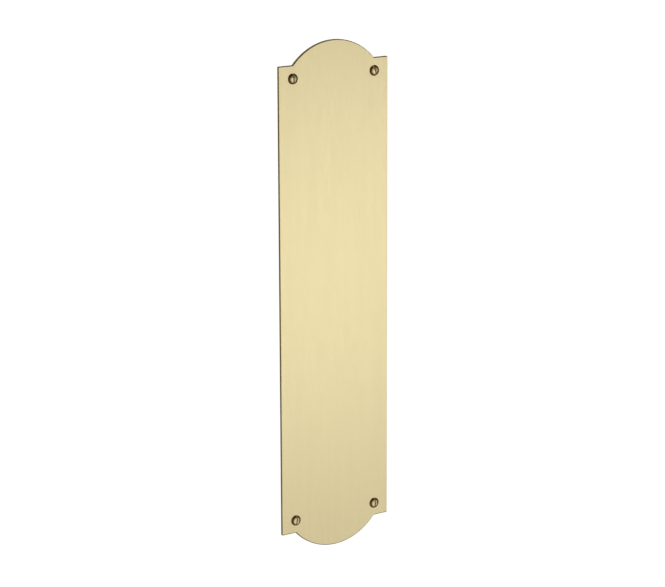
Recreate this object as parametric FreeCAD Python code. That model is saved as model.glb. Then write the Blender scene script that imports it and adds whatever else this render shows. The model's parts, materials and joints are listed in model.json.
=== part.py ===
import FreeCAD, Part
import math
import os

# Door finger plate: a long brass plate on the pushing side of a door, held by four
# raised countersunk wood screws.
#
# Millimetres. +Z runs up the plate, +X to its right and +Y into the door. The origin
# is the middle of the plate's back face, so the back lies in the plane y = 0 and the
# front faces -Y.

# Outline of the plate: straight sides, and at each end a flat shoulder either side
# of a round crown.
plate_length = 305.0
plate_width = 77.0
crown_rise = 12.7
shoulder_width = 9.9
corner_radius = 0.5

# Section of the plate
plate_thickness = 1.5
front_edge_radius = 0.3

# Screw holes, measured in from the sides and from the shoulders
hole_from_side = 9.7
hole_from_shoulder = 7.7
hole_clearance = 0.5

# Raised countersunk wood screw with one slot. Its length is counted from the edge of
# the head's dome, which stands a little proud of the plate.
screw_length = 12.7
shank_diameter = 3.5
core_diameter = 2.5
head_diameter = 6.3
head_cone_angle = 90.0
head_rim = 0.3
head_dome = 0.9
head_proud = 0.4
under_head_fillet = 0.9
plain_shank_length = 2.4
runout_length = 0.6
point_length = 3.6
point_blunt_diameter = 0.3

# Slot of the screws, and how far each was turned from upright when driven home,
# clockwise seen from the front: bottom left, bottom right, top left, top right.
slot_width = 1.0
slot_depth = 1.6
slot_turns = (10.0, 0.0, 0.0, -20.0)

# Gap between a screw's head and its countersink, square to the cone
seat_clearance = 0.05

# Numbers closer than this count as the same, and cutting tools overshoot by this much
tolerance = 1e-6
overshoot = 1.0

# Places worked out from the sizes above
half_width = plate_width / 2
tip_height = plate_length / 2
shoulder_height = tip_height - crown_rise
front_y = -plate_thickness
hole_x = half_width - hole_from_side
hole_z = shoulder_height - hole_from_shoulder

# Each crown is the arc through both inner ends of the shoulders and the plate's tip
crown_half_width = half_width - shoulder_width
crown_radius = (crown_half_width ** 2 + crown_rise ** 2) / (2 * crown_rise)
crown_centre = tip_height - crown_radius
crown_half_angle = math.atan2(crown_half_width, crown_radius - crown_rise)

head_radius = head_diameter / 2
shank_radius = shank_diameter / 2
core_radius = core_diameter / 2
half_cone = math.radians(head_cone_angle / 2)
head_cone_end = head_rim + (head_radius - shank_radius) / math.tan(half_cone)
dome_radius = (head_radius ** 2 + head_dome ** 2) / (2 * head_dome)
dome_half_angle = math.atan2(head_radius, dome_radius - head_dome)


def line(start, end):
    return Part.LineSegment(start, end).toShape()


def arc(start, middle, end):
    return Part.Arc(start, middle, end).toShape()


def on_back(x, z):
    """A point of the plate's back face."""
    return FreeCAD.Vector(x, 0, z)


def crown_point(end, angle):
    """A point of a crown, its angle counted from the tip. end is 1 at the top."""
    x = crown_radius * math.sin(angle)
    z = crown_centre + crown_radius * math.cos(angle)
    return on_back(end * x, end * z)


def plate_outline():
    """The closed outline: at each end two shoulders and a crown, then a long side."""
    edges = []
    for end in (1, -1):
        shoulder_z = end * shoulder_height
        side_x = end * half_width
        first, tip, last = crown_half_angle, 0, -crown_half_angle
        edges.append(line(on_back(side_x, shoulder_z), crown_point(end, first)))
        edges.append(arc(*(crown_point(end, a) for a in (first, first / 2, tip))))
        edges.append(arc(*(crown_point(end, a) for a in (tip, last / 2, last))))
        edges.append(line(crown_point(end, last), on_back(-side_x, shoulder_z)))
        edges.append(line(on_back(-side_x, shoulder_z), on_back(-side_x, -shoulder_z)))
    return Part.Wire(edges)


def same(first, second):
    return abs(first - second) < tolerance


def is_corner(edge):
    """True for the short edges where a shoulder meets a side or the crown."""
    start, end = (vertex.Point for vertex in edge.Vertexes)
    runs_through = same(start.x, end.x) and same(start.z, end.z)
    return runs_through and same(abs(start.z), shoulder_height)


def lies_on_front(edge):
    return all(same(vertex.Point.y, front_y) for vertex in edge.Vertexes)


def blank_plate():
    """The cut blank, its corners eased and its front edge softened all round."""
    blank = Part.Face(plate_outline()).extrude(FreeCAD.Vector(0, front_y, 0))
    blank = blank.makeFillet(corner_radius, [e for e in blank.Edges if is_corner(e)])
    return blank.makeFillet(front_edge_radius, [e for e in blank.Edges if lies_on_front(e)])


def at(radius, depth):
    """A point of a turned profile, depth counted from the dome's edge into the door."""
    return FreeCAD.Vector(radius, depth, 0)


def straight_edges(points):
    return [line(start, end) for start, end in zip(points, points[1:])]


def turned(profile):
    """Spin a closed profile round the screw's own axis."""
    face = Part.Face(Part.Wire(profile))
    return face.revolve(FreeCAD.Vector(0, 0, 0), FreeCAD.Vector(0, 1, 0), 360)


def hole_cutter():
    """Countersink and hole: the cone follows the head's own, clear of it all over."""
    rim_end_radius = head_radius + seat_clearance / math.cos(half_cone)
    hole_radius = shank_radius + hole_clearance
    cone_end = head_rim + (rim_end_radius - hole_radius) / math.tan(half_cone)
    past_back = max(head_proud + plate_thickness, cone_end) + overshoot
    return turned(straight_edges([
        at(0, -overshoot),
        at(rim_end_radius, -overshoot),
        at(rim_end_radius, head_rim),
        at(hole_radius, cone_end),
        at(hole_radius, past_back),
        at(0, past_back),
        at(0, -overshoot),
    ]))


def slot_cutter():
    """The saw's cut across the dome, reaching past the head all round."""
    reach = head_diameter
    corner = FreeCAD.Vector(-slot_width / 2, -head_dome - reach, -reach)
    return Part.makeBox(slot_width, slot_depth + reach, 2 * reach, corner)


def is_neck(edge):
    """True for the ring where a screw's cone meets its plain shank."""
    return all(same(vertex.Point.y, head_cone_end) for vertex in edge.Vertexes)


def screw():
    """Domed head, countersunk cone, plain shank, then the thread's core and point."""
    shank_end = head_cone_end + plain_shank_length
    core_start = shank_end + runout_length
    point_start = screw_length - point_length
    dome_top = at(0, -head_dome)
    dome_middle = at(
        dome_radius * math.sin(dome_half_angle / 2),
        dome_radius * (1 - math.cos(dome_half_angle / 2)) - head_dome,
    )
    rim_edge = at(head_radius, 0)
    body = straight_edges([
        rim_edge,
        at(head_radius, head_rim),
        at(shank_radius, head_cone_end),
        at(shank_radius, shank_end),
        at(core_radius, core_start),
        at(core_radius, point_start),
        at(point_blunt_diameter / 2, screw_length),
        at(0, screw_length),
        dome_top,
    ])
    blank = turned([arc(dome_top, dome_middle, rim_edge)] + body)
    blank = blank.makeFillet(under_head_fillet, [e for e in blank.Edges if is_neck(e)])
    return blank.cut(slot_cutter())


def set_in(shape, place, turn=0.0):
    """A copy of a turned shape, turned about its axis and set where a screw goes."""
    placed = shape.copy()
    placed.rotate(FreeCAD.Vector(0, 0, 0), FreeCAD.Vector(0, 1, 0), turn)
    placed.translate(place)
    return placed


screw_places = [
    FreeCAD.Vector(x, front_y - head_proud, z)
    for z in (-hole_z, hole_z)
    for x in (-hole_x, hole_x)
]
finger_plate = blank_plate().cut([set_in(hole_cutter(), place) for place in screw_places])
fixing_screws = Part.makeCompound([
    set_in(screw(), place, turn)
    for place, turn in zip(screw_places, slot_turns)
])

os.makedirs("parts", exist_ok=True)
for name, shape in (("finger_plate", finger_plate), ("fixing_screws", fixing_screws)):
    shape.exportStep(f"parts/{name}.step")
    print(name, len(shape.Solids), "solids,", round(shape.Volume, 1), "cubic mm")
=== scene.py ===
import json
import math

import bmesh
import bpy
from mathutils import Matrix, Quaternion, Vector


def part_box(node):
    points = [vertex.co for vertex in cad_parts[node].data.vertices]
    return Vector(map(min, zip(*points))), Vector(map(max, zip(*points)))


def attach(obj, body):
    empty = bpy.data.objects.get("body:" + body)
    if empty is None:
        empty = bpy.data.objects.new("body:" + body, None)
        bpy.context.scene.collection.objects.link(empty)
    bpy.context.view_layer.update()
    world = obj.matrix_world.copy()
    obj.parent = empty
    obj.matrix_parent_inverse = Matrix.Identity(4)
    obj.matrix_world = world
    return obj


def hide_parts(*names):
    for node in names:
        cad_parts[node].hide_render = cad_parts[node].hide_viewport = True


# A door finger plate of satin brass with its four raised countersunk screws, held in
# the air as it is fixed to a door: +Z up the plate, its front facing -Y.

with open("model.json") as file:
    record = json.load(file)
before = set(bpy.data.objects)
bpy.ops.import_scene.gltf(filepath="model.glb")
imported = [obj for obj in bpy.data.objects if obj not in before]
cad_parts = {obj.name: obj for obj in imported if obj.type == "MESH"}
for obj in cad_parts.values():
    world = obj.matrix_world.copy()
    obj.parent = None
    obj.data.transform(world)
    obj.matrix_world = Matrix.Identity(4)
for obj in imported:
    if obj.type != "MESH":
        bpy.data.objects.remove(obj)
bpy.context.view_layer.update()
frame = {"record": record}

# The object's sizes are in millimetres and turned to metres by this factor
MM = 0.001

# Plate: its box comes from the frame
plate_low, plate_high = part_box("finger_plate")
HALF_WIDTH = plate_high.x
TIP_HEIGHT = plate_high.z
FRONT_Y = plate_low.y
BACK_Y = plate_high.y
THICKNESS = BACK_Y - FRONT_Y
CROWN_RISE = 12.7 * MM
SHOULDER_WIDTH = 9.9 * MM
CORNER_RADIUS = 0.5 * MM
FRONT_EDGE_RADIUS = 0.3 * MM
SHOULDER_Z = TIP_HEIGHT - CROWN_RISE

# The front's finish reaches this far round the edge before the bare edge starts, whose dark brown
# is painted shade: half way along the sides, and hardly at all at the ends
SIDE_TILT = math.radians(42)
END_TILT = math.radians(2)

# A dark line of painted shade also runs just inside an end. It has this width where the edge lies
# square to the plate's length, narrows as the edge slants, and elsewhere keeps its least share
SHADE_LINE_WIDTH = 0.15 * MM
SHADE_LINE_FROM_SQUARENESS = 0.6
LEAST_SHADE_LINE_SHARE = 0.1

# Screws: their places come from the record's bolt pattern
pattern = next(m["dims"] for m in frame["record"]["mounts"] if m["kind"] == "bolt_pattern")
SCREW_X = pattern["spacing_x_mm"] / 2 * MM
SCREW_Z = pattern["spacing_y_mm"] / 2 * MM
SHANK_RADIUS = pattern["stud_r_mm"] * MM
CORE_RADIUS = 1.25 * MM
SCREW_LENGTH = 12.7 * MM
HEAD_RADIUS = 3.15 * MM
HEAD_PROUD = 0.4 * MM
HEAD_RIM = 0.3 * MM
HEAD_DOME = 0.9 * MM
# Half the angle between the sides of the head's cone
HALF_CONE = math.radians(45)
UNDER_HEAD_FILLET = 0.9 * MM
RIM_SOFTNESS = 0.08 * MM
PLAIN_SHANK = 2.4 * MM
RUNOUT = 0.6 * MM
POINT_LENGTH = 3.6 * MM
POINT_BLUNT = 0.15 * MM
SLOT_WIDTH = 1.0 * MM
SLOT_DEPTH = 1.6 * MM
# Degrees from upright, clockwise from the front: bottom left and right, top left and right
SLOT_TURNS = (10, 0, 0, -20)

# Depths along a screw, counted from the edge of its dome
CONE_END = HEAD_RIM + (HEAD_RADIUS - SHANK_RADIUS) / math.tan(HALF_CONE)
SHANK_END = CONE_END + PLAIN_SHANK
SLOT_FLOOR = SLOT_DEPTH - HEAD_DOME

# Countersink in the plate: a cone like the head's, clear of it all over. Depths count from
# the plate's face, and the head's cone starts above that
SEAT_CLEARANCE = 0.05 * MM
HOLE_CLEARANCE = 0.5 * MM
HOLE_RADIUS = SHANK_RADIUS + HOLE_CLEARANCE
CONE_START = HEAD_RIM - HEAD_PROUD
CONE_START_RADIUS = HEAD_RADIUS + SEAT_CLEARANCE / math.cos(HALF_CONE)
MOUTH_RADIUS = CONE_START_RADIUS + CONE_START * math.tan(HALF_CONE)
COUNTERSINK_DEPTH = (MOUTH_RADIUS - HOLE_RADIUS) / math.tan(HALF_CONE)

# Thread of the wood screw
PITCH = 1.41 * MM
RIDGE_ROOT = 0.75 * MM
RIDGE_CREST = 0.12 * MM
RIDGE_SUNK = 0.12 * MM
RIDGE_BELOW_SHANK = 0.01 * MM
RIDGE_SHORT_OF_TIP = 0.1 * MM

# How finely each round shape is drawn, and the fold from which an edge stays sharp
CROWN_STEPS = 32
CORNER_SEGMENTS = 5
FRONT_EDGE_SEGMENTS = 6
DOME_STEPS = 14
RIM_SEGMENTS = 3
NECK_SEGMENTS = 5
STEPS_ROUND = 72
THREAD_STEPS = 48
SHARP_FOLD = math.radians(33)

# The photograph's camera, aimed just off the middle of the plate's face
CAMERA_AZIMUTH = -35.41
CAMERA_ELEVATION = 13.26
CAMERA_ROLL = -0.20
CAMERA_DISTANCE = 1450.4 * MM
CAMERA_AIM = Vector((-1.6, 0, 2.7)) * MM
CAMERA_LENS = 133.52
SENSOR_WIDTH = 36

# Floor of the studio, in metres: how far it reaches, and how far it lies below the plate
FLOOR_REACH = 20
FLOOR_DROP = 0.95

# Places nearer to each other than this, in metres, are the same
TINY = 1e-7


def direction(azimuth, elevation):
    """The way from the plate to something in the studio, azimuth 0 being straight in front."""
    azimuth, elevation = math.radians(azimuth), math.radians(elevation)
    level = math.cos(elevation)
    return Vector((math.sin(azimuth) * level, -math.cos(azimuth) * level, math.sin(elevation)))


def srgb(hex_colour):
    """A linear colour with alpha from an sRGB hex value."""
    levels = [int(hex_colour[i:i + 2], 16) / 255 for i in (1, 3, 5)]
    linear = [c / 12.92 if c <= 0.04045 else ((c + 0.055) / 1.055) ** 2.4 for c in levels]
    return (*linear, 1)


def add_node(tree, kind, settings=None, inputs=None):
    """Add a node with its settings, each input linked or given a plain value.

    Where an input is given a node, that node's first output in use is linked.
    """
    node = tree.nodes.new(kind)
    for name, value in (settings or {}).items():
        setattr(node, name, value)
    for name, value in (inputs or {}).items():
        if isinstance(value, bpy.types.Node):
            value = next(output for output in value.outputs if output.enabled)
        if isinstance(value, bpy.types.NodeSocket):
            tree.links.new(value, node.inputs[name])
        else:
            node.inputs[name].default_value = value
    return node


def new_material(name):
    """A material with nothing in it, and its node tree."""
    material = bpy.data.materials.new(name)
    material.use_nodes = True
    material.node_tree.nodes.clear()
    return material, material.node_tree


def streaks(tree, sizes, detail):
    """Noise drawn out into streaks, their sizes along X, Y and Z in millimetres.

    Noise keeps mostly between 0.3 and 0.7, and that is spread out over 0 to 1.
    """
    place = add_node(tree, "ShaderNodeTexCoord").outputs["Object"]
    stretched = add_node(tree, "ShaderNodeMapping", inputs={
        "Vector": place,
        "Scale": [1 / (size * MM) for size in sizes],
    })
    noise = add_node(tree, "ShaderNodeTexNoise", inputs={
        "Vector": stretched,
        "Scale": 1,
        "Detail": detail,
        "Roughness": 0.6,
    })
    return add_node(tree, "ShaderNodeMapRange", inputs={
        "Value": noise,
        "From Min": 0.3,
        "From Max": 0.7,
    })


def satin_brass():
    """Brass sheet brushed up its length and lacquered: a soft sheen in upright hairlines.

    The belt's own scratches are too fine to show, so the hairlines are 1.3 mm wide.
    """
    material, tree = new_material("satin_brass_brushed")
    hairlines = streaks(tree, (1.3, 1.3, 9), 3)
    bands = streaks(tree, (4, 4, 60), 1)
    shade = add_node(tree, "ShaderNodeMix", inputs={
        "Factor": 0.35,
        "A": hairlines,
        "B": bands,
    })
    colour = add_node(tree, "ShaderNodeMix", {"data_type": "RGBA"}, {
        "Factor": shade,
        "A": srgb("#DFD09F"),
        "B": srgb("#E5D6A5"),
    })
    roughness = add_node(tree, "ShaderNodeMapRange", inputs={
        "Value": hairlines,
        "To Min": 0.32,
        "To Max": 0.36,
    })
    bump = add_node(tree, "ShaderNodeBump", inputs={
        "Height": hairlines,
        "Strength": 0.08,
        "Distance": 0.004 * MM,
    })
    surface = add_node(tree, "ShaderNodeBsdfPrincipled", inputs={
        "Base Color": colour,
        "Metallic": 1,
        "Roughness": roughness,
        "Coat Weight": 0.6,
        "Coat Roughness": 0.25,
        "Normal": bump,
    })
    add_node(tree, "ShaderNodeOutputMaterial", inputs={"Surface": surface})
    return material


def sheared_edge_painted_shade():
    """The plate's sheared sides and arris, without lacquer and dull, mottled and dark brown:
    painted shade and painted dark reflection along the edges.
    """
    material, tree = new_material("brass_sheared_edge")
    colour = add_node(tree, "ShaderNodeMix", {"data_type": "RGBA"}, {
        "Factor": streaks(tree, (0.2, 0.2, 0.2), 2),
        "A": srgb("#54461C"),
        "B": srgb("#685A2C"),
    })
    surface = add_node(tree, "ShaderNodeBsdfPrincipled", inputs={
        "Base Color": colour,
        "Metallic": 1,
        "Roughness": 0.5,
    })
    add_node(tree, "ShaderNodeOutputMaterial", inputs={"Surface": surface})
    return material


def mill_back():
    """The back as the rolling mill left it: rolling lines under clouds of light tarnish.

    Real rolling lines are too fine to show, so they are 1.2 mm wide.
    """
    material, tree = new_material("brass_mill_finish")
    tarnish = streaks(tree, (45, 45, 60), 3)
    rolled = add_node(tree, "ShaderNodeMix", {"data_type": "RGBA"}, {
        "Factor": streaks(tree, (1.2, 1.2, 60), 2),
        "A": srgb("#BFA468"),
        "B": srgb("#C9B077"),
    })
    colour = add_node(tree, "ShaderNodeMix", {"data_type": "RGBA"}, {
        "Factor": tarnish,
        "A": rolled,
        "B": srgb("#B3975E"),
    })
    roughness = add_node(tree, "ShaderNodeMapRange", inputs={
        "Value": tarnish,
        "To Min": 0.34,
        "To Max": 0.46,
    })
    surface = add_node(tree, "ShaderNodeBsdfPrincipled", inputs={
        "Base Color": colour,
        "Metallic": 1,
        "Roughness": roughness,
    })
    add_node(tree, "ShaderNodeOutputMaterial", inputs={"Surface": surface})
    return material


def polished_head():
    """Polished turned brass: a bright crown, and down by the plate a dark brown ring, partly
    tarnish and mostly painted shade of the gap round the head and painted dark reflection on the
    dome's steep edge.
    """
    material, tree = new_material("brass_head_polished")
    place = add_node(tree, "ShaderNodeTexCoord").outputs["Object"]
    in_one_corner = add_node(tree, "ShaderNodeVectorMath", {"operation": "ABSOLUTE"}, {0: place})
    from_axis = add_node(tree, "ShaderNodeVectorMath", {"operation": "SUBTRACT"}, {
        0: in_one_corner,
        1: (SCREW_X, 0, SCREW_Z),
    })
    across = add_node(tree, "ShaderNodeVectorMath", {"operation": "MULTIPLY"}, {
        0: from_axis,
        1: (1, 0, 1),
    })
    radius = add_node(tree, "ShaderNodeVectorMath", {"operation": "LENGTH"}, {0: across})
    bright_within = 0.4 * HEAD_RADIUS
    brown_beyond = 0.85 * HEAD_RADIUS
    # Darker from bright_within out to brown_beyond: painted shade and painted dark reflection at
    # the rim, with a little tarnish
    tarnish_and_painted_rim_shade = add_node(tree, "ShaderNodeMapRange", {"interpolation_type": "SMOOTHSTEP"}, {
        "Value": radius,
        "From Min": bright_within,
        "From Max": brown_beyond,
    })
    colour = add_node(tree, "ShaderNodeMix", {"data_type": "RGBA"}, {
        "Factor": tarnish_and_painted_rim_shade,
        "A": srgb("#F2E2B6"),
        "B": srgb("#5A3F08"),
    })
    roughness = add_node(tree, "ShaderNodeMapRange", inputs={
        "Value": tarnish_and_painted_rim_shade,
        "To Min": 0.32,
        "To Max": 0.45,
    })
    surface = add_node(tree, "ShaderNodeBsdfPrincipled", inputs={
        "Base Color": colour,
        "Metallic": 1,
        # A brown edge tint that dims the reflections at grazing angles on the rim: painted dark
        # reflection
        "Specular Tint": srgb("#8A7440"),
        "Roughness": roughness,
    })
    add_node(tree, "ShaderNodeOutputMaterial", inputs={"Surface": surface})
    return material


def tarnished_slot():
    """The sawn slot, where no polish reaches: flat, with faint saw marks 0.1 mm wide."""
    material, tree = new_material("brass_slot_tarnished")
    colour = add_node(tree, "ShaderNodeMix", {"data_type": "RGBA"}, {
        "Factor": streaks(tree, (0.1, 0.1, 0.5), 2),
        "A": srgb("#CDBB88"),
        "B": srgb("#DCCB98"),
    })
    surface = add_node(tree, "ShaderNodeBsdfPrincipled", inputs={
        "Base Color": colour,
        "Metallic": 0.8,
        "Roughness": 0.5,
    })
    add_node(tree, "ShaderNodeOutputMaterial", inputs={"Surface": surface})
    return material


def machined_shank():
    """Shank and thread as the machine left them: clean yellow brass ringed by the tool.

    The rings are as wide as the tool moves on at each turn, 0.15 mm.
    """
    material, tree = new_material("brass_shank_machined")
    colour = add_node(tree, "ShaderNodeMix", {"data_type": "RGBA"}, {
        "Factor": streaks(tree, (4, 0.15, 4), 1),
        "A": srgb("#C9AE68"),
        "B": srgb("#D8BF7B"),
    })
    surface = add_node(tree, "ShaderNodeBsdfPrincipled", inputs={
        "Base Color": colour,
        "Metallic": 1,
        "Roughness": 0.3,
    })
    add_node(tree, "ShaderNodeOutputMaterial", inputs={"Surface": surface})
    return material


def rays_to_the_eye(tree):
    """1 for rays from the camera, straight, in a reflection or through glass, else 0."""
    rays = add_node(tree, "ShaderNodeLightPath").outputs
    to_eye = rays["Is Camera Ray"]
    for kind in ("Is Glossy Ray", "Is Transmission Ray"):
        to_eye = add_node(tree, "ShaderNodeMath", {"operation": "MAXIMUM"}, {
            0: to_eye,
            1: rays[kind],
        })
    return to_eye


def pale_floor():
    """Matt white paper: pure white to the eye and in reflections, yet it takes a shadow.

    Its glow is what the lamps' light on it lacks of white.
    """
    material, tree = new_material("white_paper_floor")
    glow = add_node(tree, "ShaderNodeMapRange", inputs={
        "Value": rays_to_the_eye(tree),
        "To Max": 0.62,
    })
    paper = add_node(tree, "ShaderNodeBsdfDiffuse", inputs={"Color": srgb("#E8E8E8")})
    lift = add_node(tree, "ShaderNodeEmission", inputs={"Strength": glow})
    both = add_node(tree, "ShaderNodeAddShader", inputs={0: paper, 1: lift})
    add_node(tree, "ShaderNodeOutputMaterial", inputs={"Surface": both})
    return material


def finished_piece(name, mesh, node):
    """A piece of the object in place of a node of the frame, its flat faces kept flat."""
    piece = bpy.data.objects.new(name, mesh)
    bpy.context.scene.collection.objects.link(piece)
    shading = piece.modifiers.new("flat_faces_stay_flat", "WEIGHTED_NORMAL")
    shading.keep_sharp = True
    shading.weight = 100
    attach(piece, "root")
    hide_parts(node)


def close_shape(bm):
    """Weld the seams, face everything outwards and mark the true corners."""
    bmesh.ops.remove_doubles(bm, verts=bm.verts, dist=TINY)
    bmesh.ops.recalc_face_normals(bm, faces=bm.faces)
    for face in bm.faces:
        face.smooth = True
    for edge in bm.edges:
        edge.smooth = edge.calc_face_angle(0) < SHARP_FOLD


def to_mesh(bm, name):
    """The finished mesh of a bmesh, which is freed."""
    mesh = bpy.data.meshes.new(name)
    bm.to_mesh(mesh)
    bm.free()
    return mesh


def plate_outline(bm):
    """A quarter of the outline, drawn from the tip round to the side, and its mirrors."""
    crown_half = HALF_WIDTH - SHOULDER_WIDTH
    crown_radius = (crown_half ** 2 + CROWN_RISE ** 2) / (2 * CROWN_RISE)
    crown_angle = math.atan2(crown_half, crown_radius - CROWN_RISE)
    tip = bm.verts.new((0, BACK_Y, TIP_HEIGHT))
    swung = bmesh.ops.spin(
        bm, geom=[tip], cent=(0, 0, TIP_HEIGHT - crown_radius), axis=(0, 1, 0),
        angle=-crown_angle, steps=CROWN_STEPS,
    )
    crown_end = swung["geom_last"][0]
    corner = bm.verts.new((-HALF_WIDTH, BACK_Y, SHOULDER_Z))
    side = bm.verts.new((-HALF_WIDTH, BACK_Y, 0))
    bm.edges.new((crown_end, corner))
    bm.edges.new((corner, side))
    for axis in ("X", "Z"):
        bmesh.ops.mirror(bm, geom=bm.verts[:] + bm.edges[:], merge_dist=TINY, axis=axis)
    outer = [v for v in bm.verts if at_height(v, SHOULDER_Z) and abs(v.co.x) > crown_half + TINY]
    inner = [v for v in bm.verts if at_height(v, SHOULDER_Z) and v not in outer]
    return outer, inner, crown_angle


def at_height(vertex, height):
    """True for a vertex this far above or below the middle."""
    return abs(abs(vertex.co.z) - height) < TINY


def in_plane(edge, y):
    """True for an edge that lies flat at this depth."""
    return all(abs(vertex.co.y - y) < TINY for vertex in edge.verts)


def plate_blank(bm):
    """The sheet cut to its outline, corners eased, front edge rounded, faces left open."""
    outer, inner, crown_angle = plate_outline(bm)
    bmesh.ops.edgeloop_fill(bm, edges=bm.edges)
    inner_length = CORNER_RADIUS * math.tan(crown_angle / 2)
    for corners, length in ((outer, CORNER_RADIUS), (inner, inner_length)):
        bmesh.ops.bevel(
            bm, geom=corners, offset=length, affect="VERTICES",
            segments=CORNER_SEGMENTS, profile=0.5, material=-1,
        )
    grown = bmesh.ops.extrude_face_region(bm, geom=bm.faces[:], use_keep_orig=True)
    front = [item for item in grown["geom"] if isinstance(item, bmesh.types.BMVert)]
    bmesh.ops.translate(bm, verts=front, vec=(0, -THICKNESS, 0))
    rim = [edge for edge in bm.edges if in_plane(edge, FRONT_Y)]
    bmesh.ops.bevel(
        bm, geom=rim, offset=FRONT_EDGE_RADIUS, affect="EDGES",
        segments=FRONT_EDGE_SEGMENTS, profile=0.5, material=-1,
    )
    bm.normal_update()
    # Front and back are the only faces with more than four corners
    flats = [face for face in bm.faces if len(face.verts) > 4]
    painted_shade_line(bm, next(face for face in flats if face.normal.y < 0))
    bmesh.ops.delete(bm, geom=flats, context="FACES_ONLY")


def painted_shade_line(bm, front):
    """Mark the line of painted shade round the front, broad where the edge lies square to the
    plate's length.
    """
    line = bmesh.ops.inset_region(
        bm, faces=[front], thickness=SHADE_LINE_WIDTH, use_even_offset=True, use_boundary=True,
    )["faces"]
    round_front = set(front.edges)
    for vertex in front.verts:
        across = next(edge for edge in vertex.link_edges if edge not in round_front)
        outer = across.other_vert(vertex).co
        outward = outer - vertex.co
        squareness = abs(outward.normalized().z)
        share = (squareness - SHADE_LINE_FROM_SQUARENESS) / (1 - SHADE_LINE_FROM_SQUARENESS)
        vertex.co = outer - outward * max(LEAST_SHADE_LINE_SHARE, share)
    for face in line:
        beside = [other for edge in face.edges for other in edge.link_faces]
        face.material_index = any(is_bare_shaded_edge(other.normal) for other in beside)


def countersink(bm, centre):
    """Rings of a countersunk hole, each drawn on from the last, from mouth to back."""
    rings = (
        (HOLE_RADIUS, COUNTERSINK_DEPTH),
        (HOLE_RADIUS, THICKNESS),
    )
    lie_flat = Matrix.Rotation(math.radians(90), 4, "X")
    radius, depth = MOUTH_RADIUS, 0
    drawn = bmesh.ops.create_circle(
        bm, cap_ends=False, radius=radius, segments=STEPS_ROUND,
        matrix=Matrix.Translation(centre) @ lie_flat,
    )
    ring = list({edge for vertex in drawn["verts"] for edge in vertex.link_edges})
    for next_radius, next_depth in rings:
        grown = bmesh.ops.extrude_edge_only(bm, edges=ring)["geom"]
        ring = [item for item in grown if isinstance(item, bmesh.types.BMEdge)]
        verts = [item for item in grown if isinstance(item, bmesh.types.BMVert)]
        growth = next_radius / radius
        bmesh.ops.scale(bm, verts=verts, vec=(growth, 1, growth), space=Matrix.Translation(-centre))
        bmesh.ops.translate(bm, verts=verts, vec=(0, next_depth - depth, 0))
        radius, depth = next_radius, next_depth


def screw_places():
    """Where each head meets the plate's face: bottom left and right, top left and right."""
    return [Vector((x, FRONT_Y, z)) for z in (-SCREW_Z, SCREW_Z) for x in (-SCREW_X, SCREW_X)]


def is_bare_shaded_edge(normal):
    """True for a face tilted too far round the edge to have the front's finish, and so painted dark
    brown as the edge's shade.

    An edge belongs to an end unless it faces sideways twice as much as up or down.
    """
    on_an_end = 2 * abs(normal.z) > abs(normal.x)
    return abs(normal.y) < math.cos(END_TILT if on_an_end else SIDE_TILT)


def plate_material(face):
    """0 for the brushed front, 1 for the bare edge and the line just inside it, both dark brown as
    painted shade, 2 for the back.
    """
    if is_bare_shaded_edge(face.normal):
        return 1
    return 2 if face.normal.y > 0 else face.material_index


def make_plate():
    """The plate: blank, holes, then both faces filled in round the holes."""
    bm = bmesh.new()
    plate_blank(bm)
    for place in screw_places():
        countersink(bm, place)
    for y in (FRONT_Y, BACK_Y):
        loops = [edge for edge in bm.edges if edge.is_boundary and in_plane(edge, y)]
        bmesh.ops.triangle_fill(bm, use_beauty=True, edges=loops)
    close_shape(bm)
    for face in bm.faces:
        face.material_index = plate_material(face)
    mesh = to_mesh(bm, "satin_brass_plate")
    for material in (satin_brass(), sheared_edge_painted_shade(), mill_back()):
        mesh.materials.append(material)
    finished_piece("satin_brass_plate", mesh, "finger_plate")


def lathe_screw(bm):
    """Dome, rim, countersunk cone, plain shank, core and point, spun about the Y axis."""
    dome_radius = (HEAD_RADIUS ** 2 + HEAD_DOME ** 2) / (2 * HEAD_DOME)
    top = bm.verts.new((0, -HEAD_DOME, 0))
    swung = bmesh.ops.spin(
        bm, geom=[top], cent=(0, dome_radius - HEAD_DOME, 0), axis=(0, 0, 1),
        angle=math.asin(HEAD_RADIUS / dome_radius), steps=DOME_STEPS,
    )
    last = swung["geom_last"][0]
    for radius, depth in (
        (HEAD_RADIUS, HEAD_RIM),
        (SHANK_RADIUS, CONE_END),
        (SHANK_RADIUS, SHANK_END),
        (CORE_RADIUS, SHANK_END + RUNOUT),
        (CORE_RADIUS, SCREW_LENGTH - POINT_LENGTH),
        (POINT_BLUNT, SCREW_LENGTH),
        (0, SCREW_LENGTH),
    ):
        vertex = bm.verts.new((radius, depth, 0))
        bm.edges.new((last, vertex))
        last = vertex
    bmesh.ops.spin(
        bm, geom=bm.verts[:] + bm.edges[:], cent=(0, 0, 0), axis=(0, 1, 0),
        angle=math.radians(360), steps=STEPS_ROUND, use_merge=True,
    )
    bmesh.ops.remove_doubles(bm, verts=bm.verts, dist=TINY)
    neck_reach = UNDER_HEAD_FILLET * math.tan(HALF_CONE / 2)
    for depth, offset, segments in (
        (0, RIM_SOFTNESS, RIM_SEGMENTS),
        (CONE_END, neck_reach, NECK_SEGMENTS),
    ):
        ring = [edge for edge in bm.edges if in_plane(edge, depth)]
        bmesh.ops.bevel(
            bm, geom=ring, offset=offset, affect="EDGES",
            segments=segments, profile=0.5, material=-1,
        )
    close_shape(bm)


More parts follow.
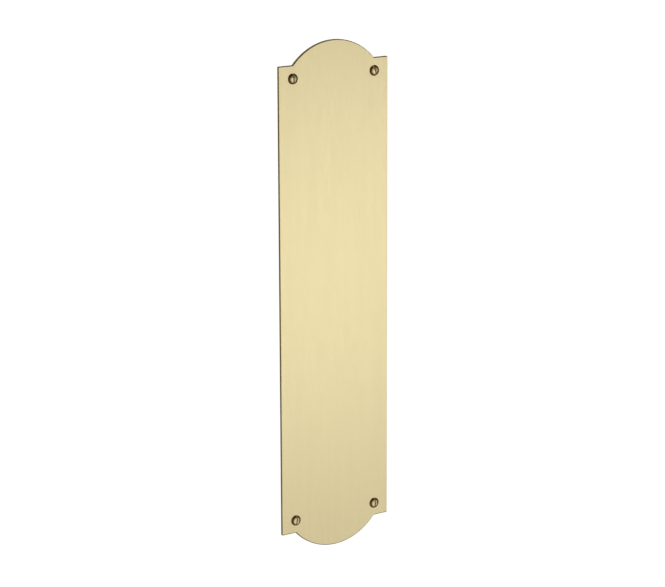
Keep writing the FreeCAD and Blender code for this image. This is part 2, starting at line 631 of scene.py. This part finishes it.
def thread_ridge(bm):
    """The thread: its section carried round the core and along it, tapering at the point."""
    start = SHANK_END - RIDGE_ROOT
    turns = (SCREW_LENGTH - RIDGE_SHORT_OF_TIP - SHANK_END) / PITCH
    inner = CORE_RADIUS - RIDGE_SUNK
    crest = SHANK_RADIUS - RIDGE_BELOW_SHANK
    section = [
        bm.verts.new((inner, start, 0)),
        bm.verts.new((crest, start + (RIDGE_ROOT - RIDGE_CREST) / 2, 0)),
        bm.verts.new((crest, start + (RIDGE_ROOT + RIDGE_CREST) / 2, 0)),
        bm.verts.new((inner, start + RIDGE_ROOT, 0)),
    ]
    edges = [bm.edges.new((a, b)) for a, b in zip(section, section[1:] + section[:1])]
    steps = round(turns * THREAD_STEPS)
    bmesh.ops.spin(
        bm, geom=section + edges, cent=(0, 0, 0), axis=(0, 1, 0),
        dvec=(0, PITCH / THREAD_STEPS, 0), angle=math.radians(360 * steps / THREAD_STEPS),
        steps=steps,
    )
    bmesh.ops.holes_fill(bm, edges=bm.edges)
    for vertex in bm.verts:
        slim = core_share(vertex.co.y)
        vertex.co.x *= slim
        vertex.co.z *= slim
    close_shape(bm)


def core_share(depth):
    """How wide the screw's core is at a depth, point and all, as a share of its full width."""
    to_tip = max(0, SCREW_LENGTH - depth)
    tip_share = POINT_BLUNT / CORE_RADIUS
    return min(1, tip_share + (1 - tip_share) * to_tip / POINT_LENGTH)


def solid_of(shape):
    """A helper object that holds the solid a function draws."""
    bm = bmesh.new()
    shape(bm)
    helper = bpy.data.objects.new("helper", to_mesh(bm, "helper"))
    bpy.context.scene.collection.objects.link(helper)
    return helper


def slot_block(bm):
    """The space that the slot takes out of the head, reaching past it all round."""
    height = HEAD_RADIUS
    length = 3 * HEAD_RADIUS
    bmesh.ops.create_cube(bm, size=1)
    bmesh.ops.scale(bm, verts=bm.verts, vec=(SLOT_WIDTH, height, length))
    bmesh.ops.translate(bm, verts=bm.verts, vec=(0, SLOT_FLOOR - height / 2, 0))


def make_one_screw():
    """The mesh of one screw at the origin: turned, threaded, then slotted."""
    screw = solid_of(lathe_screw)
    helpers = [screw]
    for shape, operation in ((thread_ridge, "UNION"), (slot_block, "DIFFERENCE")):
        helper = solid_of(shape)
        step = screw.modifiers.new("step", "BOOLEAN")
        step.operation = operation
        step.solver = "EXACT"
        step.object = helper
        helpers.append(helper)
    shaped = screw.evaluated_get(bpy.context.evaluated_depsgraph_get())
    mesh = bpy.data.meshes.new_from_object(shaped)
    for helper in helpers:
        bpy.data.objects.remove(helper)
    for face in mesh.polygons:
        face.material_index = screw_material(face)
    return mesh


def screw_material(face):
    """0 for the head, 1 for its slot, 2 for what stands out behind the plate."""
    on_floor = abs(face.center.y - SLOT_FLOOR) < TINY
    faces_sideways = abs(face.normal.x) > 0.99
    on_side = faces_sideways and abs(abs(face.center.x) - SLOT_WIDTH / 2) < TINY
    if on_floor or on_side:
        return 1
    return 2 if face.center.y > HEAD_PROUD + THICKNESS else 0


def make_screws():
    """Four copies of the screw, each turned as it was driven and set in its hole."""
    one = make_one_screw()
    bm = bmesh.new()
    for place, turn in zip(screw_places(), SLOT_TURNS):
        copy = one.copy()
        seat = Matrix.Translation(place - Vector((0, HEAD_PROUD, 0)))
        copy.transform(seat @ Matrix.Rotation(math.radians(turn), 4, "Y"))
        bm.from_mesh(copy)
    close_shape(bm)
    mesh = to_mesh(bm, "wood_screws")
    for material in (polished_head(), tarnished_slot(), machined_shank()):
        mesh.materials.append(material)
    finished_piece("wood_screws", mesh, "fixing_screws")


def photo_camera():
    """A long lens to the plate's left and a little above it, as in the photograph."""
    camera = bpy.data.objects.new("photo_camera", bpy.data.cameras.new("photo_camera"))
    camera.data.lens = CAMERA_LENS
    camera.data.sensor_width = SENSOR_WIDTH
    back = direction(CAMERA_AZIMUTH, CAMERA_ELEVATION)
    camera.location = CAMERA_AIM + Vector((0, FRONT_Y, 0)) + back * CAMERA_DISTANCE
    camera.rotation_mode = "QUATERNION"
    roll = Quaternion((0, 0, 1), math.radians(CAMERA_ROLL))
    camera.rotation_quaternion = (-back).to_track_quat("-Z", "Y") @ roll
    bpy.context.scene.collection.objects.link(camera)
    bpy.context.scene.camera = camera


def studio_world():
    """White all round to the eye and in reflections, softer as a light."""
    world = bpy.data.worlds.new("studio")
    world.use_nodes = True
    tree = world.node_tree
    tree.nodes.clear()
    strength = add_node(tree, "ShaderNodeMapRange", inputs={
        "Value": rays_to_the_eye(tree),
        "To Min": 0.5,
        "To Max": 1,
    })
    background = add_node(tree, "ShaderNodeBackground", inputs={
        "Color": srgb("#FFFFFF"),
        "Strength": strength,
    })
    add_node(tree, "ShaderNodeOutputWorld", inputs={"Surface": background})
    bpy.context.scene.world = world


def make_floor():
    """The sheet of paper that the studio stands on."""
    bm = bmesh.new()
    bmesh.ops.create_grid(bm, x_segments=1, y_segments=1, size=FLOOR_REACH)
    bmesh.ops.translate(bm, verts=bm.verts, vec=(0, 0, -FLOOR_DROP))
    floor = bpy.data.objects.new("floor", to_mesh(bm, "floor"))
    floor.data.materials.append(pale_floor())
    bpy.context.scene.collection.objects.link(floor)


def aim_at_plate(thing, azimuth, elevation, distance, roll):
    """Set a card or lamp in the studio, facing the plate and leaning by its roll."""
    way = direction(azimuth, elevation)
    thing.location = way * distance
    lean = Quaternion((0, 0, 1), math.radians(roll))
    thing.rotation_mode = "QUATERNION"
    thing.rotation_quaternion = way.to_track_quat("Z", "Y") @ lean


def flag(name, grey, width, height, azimuth, elevation, distance, roll=0):
    """A grey card beside the set, seen only in reflections, so that the metal has shape."""
    material, tree = new_material(name)
    even_grey = add_node(tree, "ShaderNodeEmission", inputs={"Color": srgb(grey)})
    add_node(tree, "ShaderNodeOutputMaterial", inputs={"Surface": even_grey})
    bm = bmesh.new()
    bmesh.ops.create_grid(bm, x_segments=1, y_segments=1, size=0.5)
    bmesh.ops.scale(bm, verts=bm.verts, vec=(width, height, 1))
    card = bpy.data.objects.new(name, to_mesh(bm, name))
    card.data.materials.append(material)
    aim_at_plate(card, azimuth, elevation, distance, roll)
    for rays in ("camera", "diffuse", "transmission", "volume_scatter", "shadow"):
        setattr(card, "visible_" + rays, False)
    bpy.context.scene.collection.objects.link(card)


def area_lamp(name, power, width, height, azimuth, elevation, distance, roll=0):
    """A soft box that faces the plate."""
    lamp = bpy.data.objects.new(name, bpy.data.lights.new(name, "AREA"))
    lamp.data.shape = "RECTANGLE"
    lamp.data.size = width
    lamp.data.size_y = height
    lamp.data.energy = power
    aim_at_plate(lamp, azimuth, elevation, distance, roll)
    bpy.context.scene.collection.objects.link(lamp)


photo_camera()
make_plate()
make_screws()
studio_world()
make_floor()

# Cards and lamps, in metres, degrees and watts
flag(
    "dark_card_above", grey="#3A3A3A", width=7, height=2.8,
    azimuth=0, elevation=46, distance=2, roll=-8,
)
flag(
    "grey_side_card", grey="#808080", width=1.37, height=1.4,
    azimuth=78, elevation=-10, distance=1.4,
)
flag(
    "pale_card_behind_key", grey="#DEDEDE", width=1.44, height=1.1,
    azimuth=22, elevation=-18.6, distance=1.32, roll=30,
)
area_lamp(
    "key", power=0.47, width=0.3, height=0.45,
    azimuth=35, elevation=-10.5, distance=1.17, roll=-30,
)
area_lamp(
    "overhead", power=4, width=1.2, height=1.2,
    azimuth=0, elevation=75, distance=1.5,
)
bpy.context.scene.view_settings.view_transform = "Standard"
